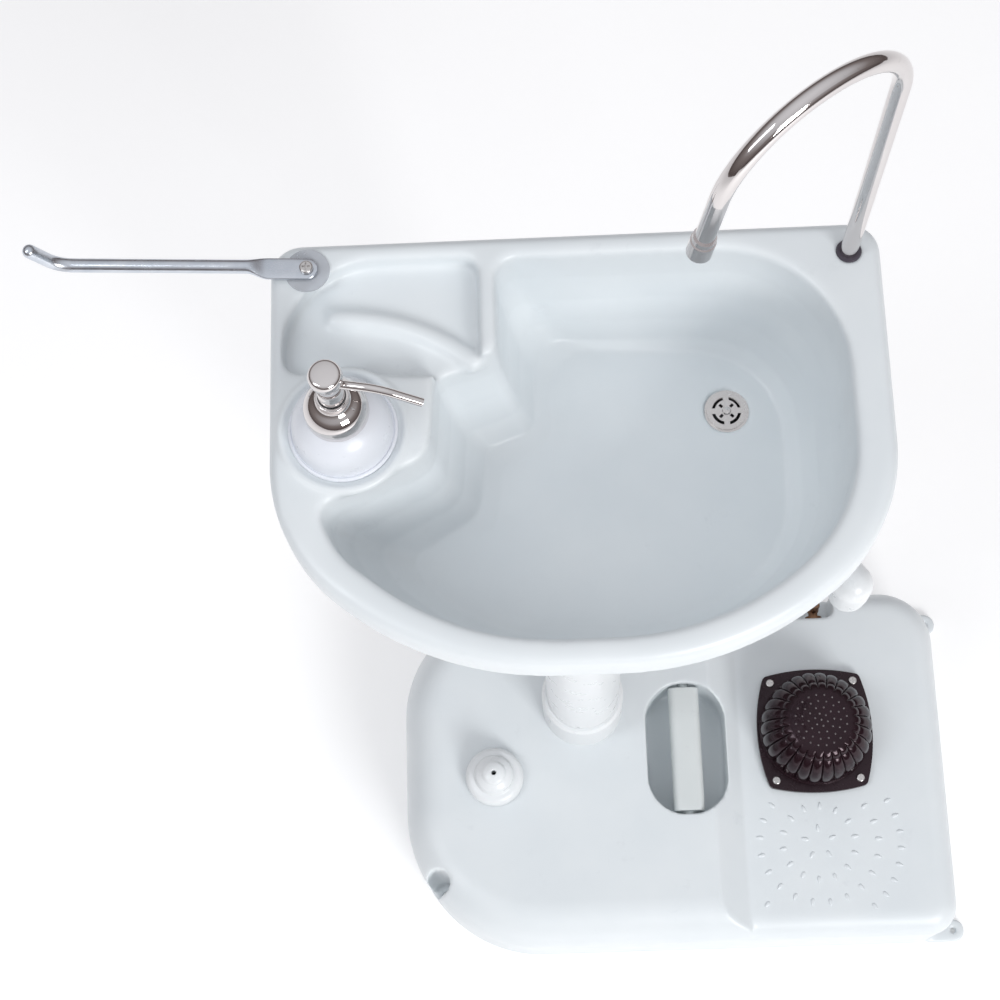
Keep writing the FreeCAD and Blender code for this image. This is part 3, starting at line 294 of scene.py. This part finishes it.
def lofted_mesh(stations, around=32):
    """A closed bar through (centre, side, up, half width, half height, squareness) stations."""
    points, rings, faces = [], [], []
    for centre, side, up, wide, high, square in stations:
        ring = []
        for k in range(around):
            angle = 2 * math.pi * k / around
            c, s = math.cos(angle), math.sin(angle)
            across = math.copysign(abs(c) ** (2 / square), c) * wide
            lift = math.copysign(abs(s) ** (2 / square), s) * high
            ring.append(len(points))
            points.append(tuple(centre + side * across + up * lift))
        rings.append(ring)
    for lower, upper in zip(rings, rings[1:]):
        for k in range(around):
            n = (k + 1) % around
            faces.append([lower[k], lower[n], upper[n], upper[k]])
    faces += [list(reversed(rings[0])), rings[-1]]
    return points, faces


def smooth_path(points, count):
    """A Catmull-Rom line through points, as count even stations of (point, tangent)."""
    controls = [points[0] * 2 - points[1], *points, points[-1] * 2 - points[-2]]
    dense = []
    for a, b, c, d in zip(controls, controls[1:], controls[2:], controls[3:]):
        for k in range(24):
            t = k / 24
            dense.append(0.5 * ((2 * b) + (c - a) * t + (2 * a - 5 * b + 4 * c - d) * t * t
                                + (3 * b - a - 3 * c + d) * t ** 3))
    dense.append(points[-1])
    lengths = [0.0]
    for a, b in zip(dense, dense[1:]):
        lengths.append(lengths[-1] + (b - a).length)
    stations = []
    for k in range(count):
        goal, i = lengths[-1] * k / (count - 1), 0
        while i < len(dense) - 2 and lengths[i + 1] < goal:
            i += 1
        share = (goal - lengths[i]) / max(lengths[i + 1] - lengths[i], 1e-9)
        stations.append((dense[i].lerp(dense[i + 1], share),
                         (dense[i + 1] - dense[i]).normalized()))
    return stations


def relax_mesh(mesh, passes, weight):
    """Soften a mesh where weight(points in mm) says, by moving points to their neighbours."""
    co = np.empty(len(mesh.vertices) * 3)
    mesh.vertices.foreach_get("co", co)
    co = co.reshape(-1, 3)
    ends = np.empty(len(mesh.edges) * 2, dtype=np.int32)
    mesh.edges.foreach_get("vertices", ends)
    first, second = ends.reshape(-1, 2).T
    both = np.concatenate((first, second))
    other = np.concatenate((second, first))
    degree = np.maximum(np.bincount(both, minlength=len(co)), 1)
    share = weight(co / MM)[:, None] * 0.5
    for _ in range(passes):
        mean = np.stack([np.bincount(both, weights=co[other, axis], minlength=len(co))
                         for axis in range(3)], axis=1) / degree[:, None]
        co += (mean - co) * share
    mesh.vertices.foreach_set("co", co.ravel())
    mesh.update()


def moulded(name, node, voxel, passes, material, extras=(), relax=None):
    """A CAD solid of the stand, joined with extras, as one dense skin with softened edges."""
    source = nodes[node].data.copy()
    joined = bmesh.new()
    joined.from_mesh(source)
    for points, faces in extras:
        made = [joined.verts.new([MM * c for c in p]) for p in points]
        for face in faces:
            joined.faces.new([made[i] for i in face])
    joined.to_mesh(source)
    joined.free()
    work = bpy.data.objects.new(name + "_work", source)
    scene.collection.objects.link(work)
    remesh = work.modifiers.new("skin", "REMESH")
    remesh.mode, remesh.voxel_size = "VOXEL", voxel * MM
    soften = work.modifiers.new("soften", "SMOOTH")
    soften.factor, soften.iterations = 0.5, passes
    mesh = bpy.data.meshes.new_from_object(
        work.evaluated_get(bpy.context.evaluated_depsgraph_get()))
    bpy.data.objects.remove(work)
    if relax:
        relax_mesh(mesh, *relax)
    mesh.name = name
    return settle(name, mesh, material, "stand", (node,), 180.0)


# ---- basin ---------------------------------------------------------------------------------

def arc_points(x, y, z, reach, first, last, count):
    """Points on a level arc between two angles in degrees."""
    return [Vector((x + reach * math.cos(math.radians(a)), y + reach * math.sin(math.radians(a)),
                    z)) for a in np.linspace(first, last, count)]


def sausage(path, radius, count=40):
    """A round bar with hemispherical ends."""
    stations, rows = smooth_path(path, count), []
    for point, tangent in stations:
        side = tangent.cross(Vector((0, 0, 1))).normalized()
        rows.append((point, side, side.cross(tangent), radius, radius, 2.0))
    for at_end in (False, True):
        point, tangent = stations[-1] if at_end else stations[0]
        outward = tangent if at_end else -tangent
        side = tangent.cross(Vector((0, 0, 1))).normalized()
        cap = [(point + outward * radius * math.sin(t), side, side.cross(tangent),
                radius * math.cos(t), radius * math.cos(t), 2.0)
               for t in np.linspace(0.2, 1.5, 7)]
        rows = rows + cap if at_end else cap[::-1] + rows
    return lofted_mesh(rows, 24)


SOFT_DEPTH, SOFT_SIDE = 24.0, 8.0
SOFT_FITTINGS = ((SOAP, 46.0), (DRAIN, 24.0), (FAUCET, 13.0), (TOWEL, 18.0))


def soft_places(points):
    """Where the basin's edges roll softly: inside the rim, away from its fittings."""
    x, y, z = points.T
    keep = np.clip((z - (RIM - SOFT_DEPTH)) / 8.0, 0.0, 1.0)
    for (px, py), reach in SOFT_FITTINGS:
        keep *= np.clip((np.hypot(x - px, y - py) - reach) / 6.0, 0.0, 1.0)
    low, high = (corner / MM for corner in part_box("basin_shell"))
    side = np.minimum(np.minimum(x - low.x, high.x - x), high.y - y)
    return keep * np.clip((side - SOFT_SIDE) / 5.0, 0.0, 1.0)


soap_lip = turned_mesh((*SOAP, RIM - 2.0), [(41.0, -3.0, 0), (47.5, -3.0, 0), (47.5, 2.0, 3.0),
                                             (44.0, 5.0, 3.0), (41.0, 4.0, 2.0)], closed=True)
RIDGE_CENTRE, RIDGE_REACH, RIDGE_SUNK, RIDGE_RADIUS = (-170.0, 18.0), 150.0, 17.0, 8.6
tray_ridge = sausage(arc_points(*RIDGE_CENTRE, RIM - RIDGE_SUNK, RIDGE_REACH, 90.0, 50.0, 12),
                     RIDGE_RADIUS)
moulded("basin_moulding", "basin_shell", 1.4, 9, SHELL,
        extras=[soap_lip, tray_ridge], relax=(26, soft_places))


# ---- tank ----------------------------------------------------------------------------------

moulded("tank_moulding", "tank_body", 1.8, 7, SHELL)

STUD_CENTRE, STUD_RINGS = (219.0, -135.0), ((13.5, 5, 20.0), (34.5, 14, 8.0), (56.0, 21, 2.0),
                                            (77.0, 31, 6.0))
STUD_LENGTH, STUD_WIDTH, STUD_HEIGHT, STUD_SUNK = 3.8, 1.8, 1.3, 0.3
STUD_ROWS, STUD_SIDES = 5, 14


def off_the_pad(x, y):
    """Beyond the pad's flat top, or under the pump's plate."""
    beside_plate = y > -95.0 and x < 278.0
    return beside_plate or y > -78.0 or y < -198.0 or x > 302.0 or x < 160.0


def tread_studs():
    """Raised teardrops in rings on the foot pad, each pointing away from the rings' centre."""
    points, faces = [], []
    for reach, count, turn in STUD_RINGS:
        for k in range(count):
            angle = math.radians(turn + 360.0 * k / count)
            x = STUD_CENTRE[0] + reach * math.cos(angle)
            y = STUD_CENTRE[1] + reach * math.sin(angle)
            if off_the_pad(x, y):
                continue
            base = len(points)
            for row in range(STUD_ROWS):
                share = row / (STUD_ROWS - 1)
                grow = math.cos(share * math.pi / 2) ** 0.8
                lift = STUD_HEIGHT * math.sin(share * math.pi / 2) - STUD_SUNK
                for s in range(STUD_SIDES):
                    a = 2 * math.pi * s / STUD_SIDES
                    along = math.cos(a) * STUD_LENGTH * grow + 0.8 * share
                    taper = 1.0 - 0.35 * math.cos(a)
                    across = math.sin(a) * STUD_WIDTH * taper * grow
                    points.append((x + along * math.cos(angle) - across * math.sin(angle),
                                   y + along * math.sin(angle) + across * math.cos(angle),
                                   PAD + lift))
            for row in range(STUD_ROWS - 1):
                lower, upper = base + row * STUD_SIDES, base + (row + 1) * STUD_SIDES
                for s in range(STUD_SIDES):
                    n = (s + 1) % STUD_SIDES
                    faces.append([lower + s, lower + n, upper + n, upper + s])
            faces.append([base + s for s in reversed(range(STUD_SIDES))])
    return points, faces


mesh_object("tank_studs", *tread_studs(), SHELL, "stand", "shell_plastic", sharp=80.0)
moulded("carry_grip_bar", "carry_grip", 1.0, 5, GRIP)

turned("filler_cap_stepped", seat("filler_cap"), [
    (2.2, 11.4, 0), (20.4, 11.4, 0), (20.4, 0.0, 0), (27.4, 0.0, 0.8), (27.5, 9.0, 3.0),
    (24.0, 13.0, 3.0), (18.8, 13.8, 1.6), (18.0, 16.5, 1.2), (17.6, 22.0, 3.0),
    (13.0, 25.2, 2.5), (11.5, 26.2, 1.2), (10.2, 29.6, 3.0), (5.0, 31.6, 2.0),
    (2.6, 31.9, 0.8), (2.2, 30.5, 0)], WHITE, "filler", "white_plastic", ("filler_cap",),
    closed=True)


# ---- foot pump -----------------------------------------------------------------------------

FLUTES, FLUTE_STEPS = 26, 14
PIMPLE_RINGS = ((0.0, 1), (6.0, 6), (12.0, 10), (18.0, 15), (24.0, 20))


def groove(angle):
    """How deep a point round the dome lies in a narrow groove between two broad flutes."""
    return 1.0 - abs(math.cos(angle * FLUTES / 2)) ** 0.4


def bellows_ripple(angle, r, z):
    """Grooves down the dome's outer side that fade out just above its foot."""
    fade = min(max((z - 4.0) / 6.0, 0.0), 1.0)
    return -3.2 * groove(angle) * fade if r > 33.0 and z > 3.0 else 0.0


bellows = turned("pump_bellows_fluted", seat("pump_bellows"), [
    (46.0, 0.1, 0), (53.0, 0.1, 0.5), (53.0, 3.2, 1.0), (51.6, 4.2, 0.8), (52.6, 9.0, 3.0),
    (52.8, 15.0, 5.0), (51.0, 26.0, 6.0), (46.6, 35.0, 6.0), (41.5, 41.0, 4.0),
    (37.4, 44.0, 1.5), (30.0, 44.0, 0), (30.0, 41.0, 0), (36.0, 38.0, 0), (44.5, 24.0, 0),
    (48.5, 9.0, 0)], RUBBER, "stand", "black_rubber", ("pump_bellows",), closed=True,
    around=FLUTES * FLUTE_STEPS, steps=8, ripple=bellows_ripple, sharp=60.0)


def tread_ripple(angle, r, z):
    """The same grooves carried on over the tread's edge."""
    fade = min(max((r - 29.0) / 6.0, 0.0), 1.0)
    return -2.6 * groove(angle) * fade


def tread_pimples():
    """Small round bumps in rings on the tread's crown."""
    points, faces = [], []
    crown = foot("pump_tread") + 9.0
    for reach, count in PIMPLE_RINGS:
        for k in range(count):
            angle = 2 * math.pi * k / count + reach
            x, y = PUMP[0] + reach * math.cos(angle), PUMP[1] + reach * math.sin(angle)
            z = crown - 1.6 * (reach / 28.0) ** 2
            bump = turned_mesh((x, y, z), [(1.15, 0.0, 0), (0.95, 0.9, 0.5), (0.0, 1.3, 0)],
                               around=12, steps=3)
            start = len(points)
            points += bump[0]
            faces += [[start + v for v in face] for face in bump[1]]
    return points, faces


turned("pump_tread_crown", seat("pump_tread"), [
    (0.0, 0.0, 0), (37.0, 0.0, 0), (37.6, 1.0, 0.8), (35.4, 4.2, 2.5), (30.5, 7.2, 5.0),
    (20.0, 9.0, 6.0), (0.0, 9.5, 0)], RUBBER, "foot_pedal", "black_rubber",
    ("pump_tread",), around=FLUTES * FLUTE_STEPS, steps=8, ripple=tread_ripple, sharp=60.0)
# The pimples take the lighter rubber, a painted highlight.
mesh_object("pump_tread_pimples", *tread_pimples(), PAINTED_HIGHLIGHT_RUBBER, "foot_pedal", "black_rubber",
            sharp=60.0)


def coil(name, node, lift, radius, wire, height, turns):
    """A compression spring with both ends closed, its wire's centre starting at lift."""
    centre, stations = seat(node, lift), []
    count = int(turns * 28)
    for k in range(count + 1):
        t = k / count
        rise = min(max((t - 0.06) / 0.88, 0.0), 1.0)
        angle = 2 * math.pi * turns * t
        out = Vector((math.cos(angle), math.sin(angle), 0))
        stations.append((Vector((centre[0], centre[1], centre[2] + height * rise))
                         + out * radius, out, Vector((0, 0, 1)), wire, wire, 2.0))
    points, faces = lofted_mesh(stations, 10)
    return mesh_object(name, points, faces, STEEL, "stand", "steel", (node,))


pump_coil = coil("pump_spring_coil", "pump_spring", 1.4, 20.0, 1.2, 37.5, 6.5)
soap_coil = coil("soap_spring_coil", "soap_spring", 0.6, 3.8, 0.45, 16.8, 7)


# ---- column, waste -------------------------------------------------------------------------

turned("column_tube", (0.0, 0.0, foot("column_pipe")), [
    (30.0, 0.0, 0), (33.0, 0.0, 0.6), (33.0, 540.0, 0.6), (30.0, 540.0, 0)], WHITE, "stand",
    "white_plastic", ("column_pipe",), closed=True, around=128)
moulded("waste_outlet_elbow", "waste_outlet", 1.0, 4, WHITE)
moulded("waste_inlet_elbow", "waste_elbow", 1.0, 4, WHITE)


# ---- soap dispenser ------------------------------------------------------------------------

turned("soap_bottle_milky", (*SOAP, foot("soap_bottle")), [
    (0.0, 0.0, 0), (29.0, 0.0, 6.0), (35.0, 6.0, 5.0), (35.0, 110.1, 0), (38.0, 110.1, 0.5),
    (38.0, 112.6, 1.0), (36.2, 113.2, 0.5), (35.4, 112.4, 0.3), (35.0, 114.5, 1.0),
    (34.0, 126.0, 7.0), (28.0, 138.0, 8.0), (19.0, 144.5, 4.0), (16.0, 146.0, 1.0),
    (16.0, 159.0, 0), (14.0, 159.0, 0), (14.0, 143.0, 0), (21.0, 140.0, 0),
    (31.0, 129.0, 0), (32.5, 110.0, 0), (32.5, 7.0, 0), (28.0, 2.5, 0), (0.0, 2.5, 0)],
    BOTTLE, "stand", "bottle_plastic", ("soap_bottle",), around=128)
turned("soap_collar_dome", (*SOAP, foot("soap_collar")), [
    (16.1, 0.0, 0), (20.6, 0.0, 0.6), (22.0, 1.2, 1.0), (22.0, 8.5, 3.0), (21.2, 13.5, 4.0),
    (18.0, 19.0, 4.0), (13.0, 22.8, 3.0), (11.4, 24.4, 1.5), (11.2, 31.0, 0.8),
    (9.6, 31.0, 0), (9.6, 16.2, 0), (16.1, 16.2, 0)], CHROME, "stand", "chrome",
    ("soap_collar",), closed=True, around=128, steps=10, sharp=50.0)
turned("soap_head_knob", (*SOAP, foot("soap_knob")), [
    (4.02, 0.0, 0), (8.6, 0.0, 0.6), (9.0, 1.5, 0.8), (9.0, 8.0, 4.0), (7.9, 13.5, 5.0),
    (8.6, 19.0, 4.0), (8.6, 27.6, 1.0), (10.6, 29.4, 1.5), (11.4, 32.0, 2.0),
    (11.4, 36.6, 2.5), (9.6, 39.6, 2.2), (5.0, 40.3, 2.0), (0.0, 40.5, 0), (0.0, 32.0, 0),
    (4.02, 32.0, 0)], CHROME, "soap_head", "chrome", ("soap_knob",), around=128, steps=10,
    sharp=50.0)


# ---- towel bar -----------------------------------------------------------------------------

TOWEL_HEADING = math.radians(177.0)
ROD, ROD_LEVEL = 5.0, RIM + 7.0
STRAP_WIDE, STRAP_HIGH, STRAP_LEVEL = 8.0, 1.7, RIM + 3.4
BEND_START, BEND, TURN, TIP = 165.0, 20.0, math.radians(58.0), 16.0


def towel_stations():
    """The bar from its flattened eye end to its turned-up tip, section by section."""
    out = Vector((math.cos(TOWEL_HEADING), math.sin(TOWEL_HEADING), 0))
    side, up = Vector((-out.y, out.x, 0)), Vector((0, 0, 1))
    start = Vector((*TOWEL, 0))
    stations = []

    def add(reach, level, wide, high, square, tilt=0.0):
        lean = up * math.cos(tilt) - out * math.sin(tilt)
        stations.append((start + out * reach + up * level, side, lean, wide, high, square))

    for t in np.linspace(0.05, 1.0, 10):
        across = math.sqrt(1 - (1 - t) ** 2)
        add(STRAP_WIDE * (t - 1.0), STRAP_LEVEL, STRAP_WIDE * across, STRAP_HIGH, 3.2)
    for reach in (12.0, 24.0):
        add(reach, STRAP_LEVEL, STRAP_WIDE, STRAP_HIGH, 4.0)
    for t in np.linspace(0.0, 1.0, 9):
        ease = t * t * (3 - 2 * t)
        add(27.0 + 15.0 * t, STRAP_LEVEL + (ROD_LEVEL - STRAP_LEVEL) * ease,
            STRAP_WIDE + (ROD - STRAP_WIDE) * ease, 1.8 + (ROD - 1.8) * ease, 4.0 - 2.0 * ease)
    for reach in (60.0, 90.0, 120.0, 150.0):
        add(reach, ROD_LEVEL, ROD, ROD, 2.0)
    for t in np.linspace(0.0, 1.0, 12):
        angle = TURN * t
        add(BEND_START + BEND * math.sin(angle), ROD_LEVEL + BEND * (1 - math.cos(angle)), ROD,
            ROD, 2.0, angle)
    tip_reach = BEND_START + BEND * math.sin(TURN)
    tip_level = ROD_LEVEL + BEND * (1 - math.cos(TURN))
    ahead, rise = math.cos(TURN), math.sin(TURN)
    for t in np.linspace(0.2, 1.0, 4):
        add(tip_reach + TIP * t * ahead, tip_level + TIP * t * rise, ROD, ROD, 2.0, TURN)
    for t in np.linspace(0.2, 1.53, 8):
        far, thin = TIP + ROD * math.sin(t), ROD * math.cos(t)
        add(tip_reach + far * ahead, tip_level + far * rise, thin, thin, 2.0, TURN)
    return stations


mesh_object("towel_bar_rod", *lofted_mesh(towel_stations(), 40), ZINC, "towel_arm",
            "zinc_steel", ("towel_bar",), sharp=35.0)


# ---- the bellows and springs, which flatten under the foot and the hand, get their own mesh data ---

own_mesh(bellows)
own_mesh(pump_coil)
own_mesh(soap_coil)


# ---- floor, light, camera (in metres) ------------------------------------------------------

FLOOR_HALF, FLOOR_LEVEL = 9.0, -0.0006
floor_mesh = bpy.data.meshes.new("floor")
floor_mesh.from_pydata([(x * FLOOR_HALF, y * FLOOR_HALF, FLOOR_LEVEL)
                        for x, y in ((-1, -1), (1, -1), (1, 1), (-1, 1))], [], [(0, 1, 2, 3)])
floor_mesh.materials.append(FLOOR)
floor = bpy.data.objects.new("floor", floor_mesh)
scene.collection.objects.link(floor)


SKY_STOPS = ((0.0, (0.50, 0.48, 0.47)), (0.48, (0.11, 0.09, 0.088)),
             (0.66, (0.25, 0.22, 0.215)), (0.84, (0.64, 0.64, 0.66)), (1.0, (0.86, 0.87, 0.90)))
SEEN_SKY, SKY_STRENGTH = (0.90, 0.90, 0.91), 0.95


def studio_world():
    """Pale overhead light, darker and warmer low down for the metal to reflect.

    Looked at directly, beyond the floor's edge, it is an even pale backdrop.
    """
    world = bpy.data.worlds.new("studio")
    world.use_nodes = True
    tree = world.node_tree
    background = tree.nodes["Background"]
    where = add_node(tree, "ShaderNodeTexCoord").outputs["Generated"]
    split = add_node(tree, "ShaderNodeSeparateXYZ")
    tree.links.new(where, split.inputs[0])
    ramp = add_node(tree, "ShaderNodeValToRGB")
    while len(ramp.color_ramp.elements) < len(SKY_STOPS):
        ramp.color_ramp.elements.new(0.5)
    for element, (place, colour) in zip(ramp.color_ramp.elements, SKY_STOPS):
        element.position = place
        element.color = (*colour, 1.0)
    height = add_node(tree, "ShaderNodeMapRange", {"From Min": -1.0, "From Max": 1.0,
                                                   "To Min": 0.0, "To Max": 1.0})
    tree.links.new(split.outputs["Z"], height.inputs["Value"])
    tree.links.new(height.outputs["Result"], ramp.inputs["Fac"])
    seen = add_node(tree, "ShaderNodeLightPath").outputs["Is Camera Ray"]
    colour = blend_colour(tree, seen, ramp.outputs["Color"], SEEN_SKY)
    tree.links.new(colour, background.inputs["Color"])
    background.inputs["Strength"].default_value = SKY_STRENGTH
    scene.world = world


def soft_light(name, place, aim, width, height, power, colour=(1, 1, 1)):
    """A rectangular light at place, turned towards aim."""
    data = bpy.data.lights.new(name, "AREA")
    data.shape, data.size, data.size_y = "RECTANGLE", width, height
    data.energy, data.color = power, colour
    light = bpy.data.objects.new(name, data)
    light.location = place
    light.rotation_euler = (Vector(aim) - Vector(place)).to_track_quat("-Z", "Y").to_euler()
    scene.collection.objects.link(light)


studio_world()
soft_light("key", (2.0, -3.55, 2.6), (0.0, 0.0, 0.5), 1.85, 1.55, 122.0)
soft_light("window", (-1.6, -0.6, 2.6), (0.0, 0.0, 0.6), 0.6, 1.4, 14.0, (0.94, 0.97, 1.0))

CAMERA = (-0.0208, -0.37095, 1.9788)
PITCH, ROLL, YAW = math.radians(72.40), math.radians(7.09), math.radians(5.16)
LENS, SENSOR = 69.88, 36.0


def make_camera():
    """The camera above and in front of the sink, looking steeply down, slightly rolled."""
    ahead = Vector((-math.sin(YAW) * math.cos(PITCH), math.cos(YAW) * math.cos(PITCH),
                    -math.sin(PITCH)))
    right = Vector((math.cos(YAW), math.sin(YAW), 0))
    down = ahead.cross(right)
    across = right * math.cos(ROLL) + down * math.sin(ROLL)
    lower = down * math.cos(ROLL) - right * math.sin(ROLL)
    data = bpy.data.cameras.new("camera")
    data.lens, data.sensor_width = LENS, SENSOR
    camera = bpy.data.objects.new("camera", data)
    turn = Matrix((across, -lower, -ahead)).transposed().to_4x4()
    camera.matrix_world = Matrix.Translation(CAMERA) @ turn
    scene.collection.objects.link(camera)
    scene.camera = camera


make_camera()
scene.view_settings.view_transform = "Standard"
scene.view_settings.look = "None"
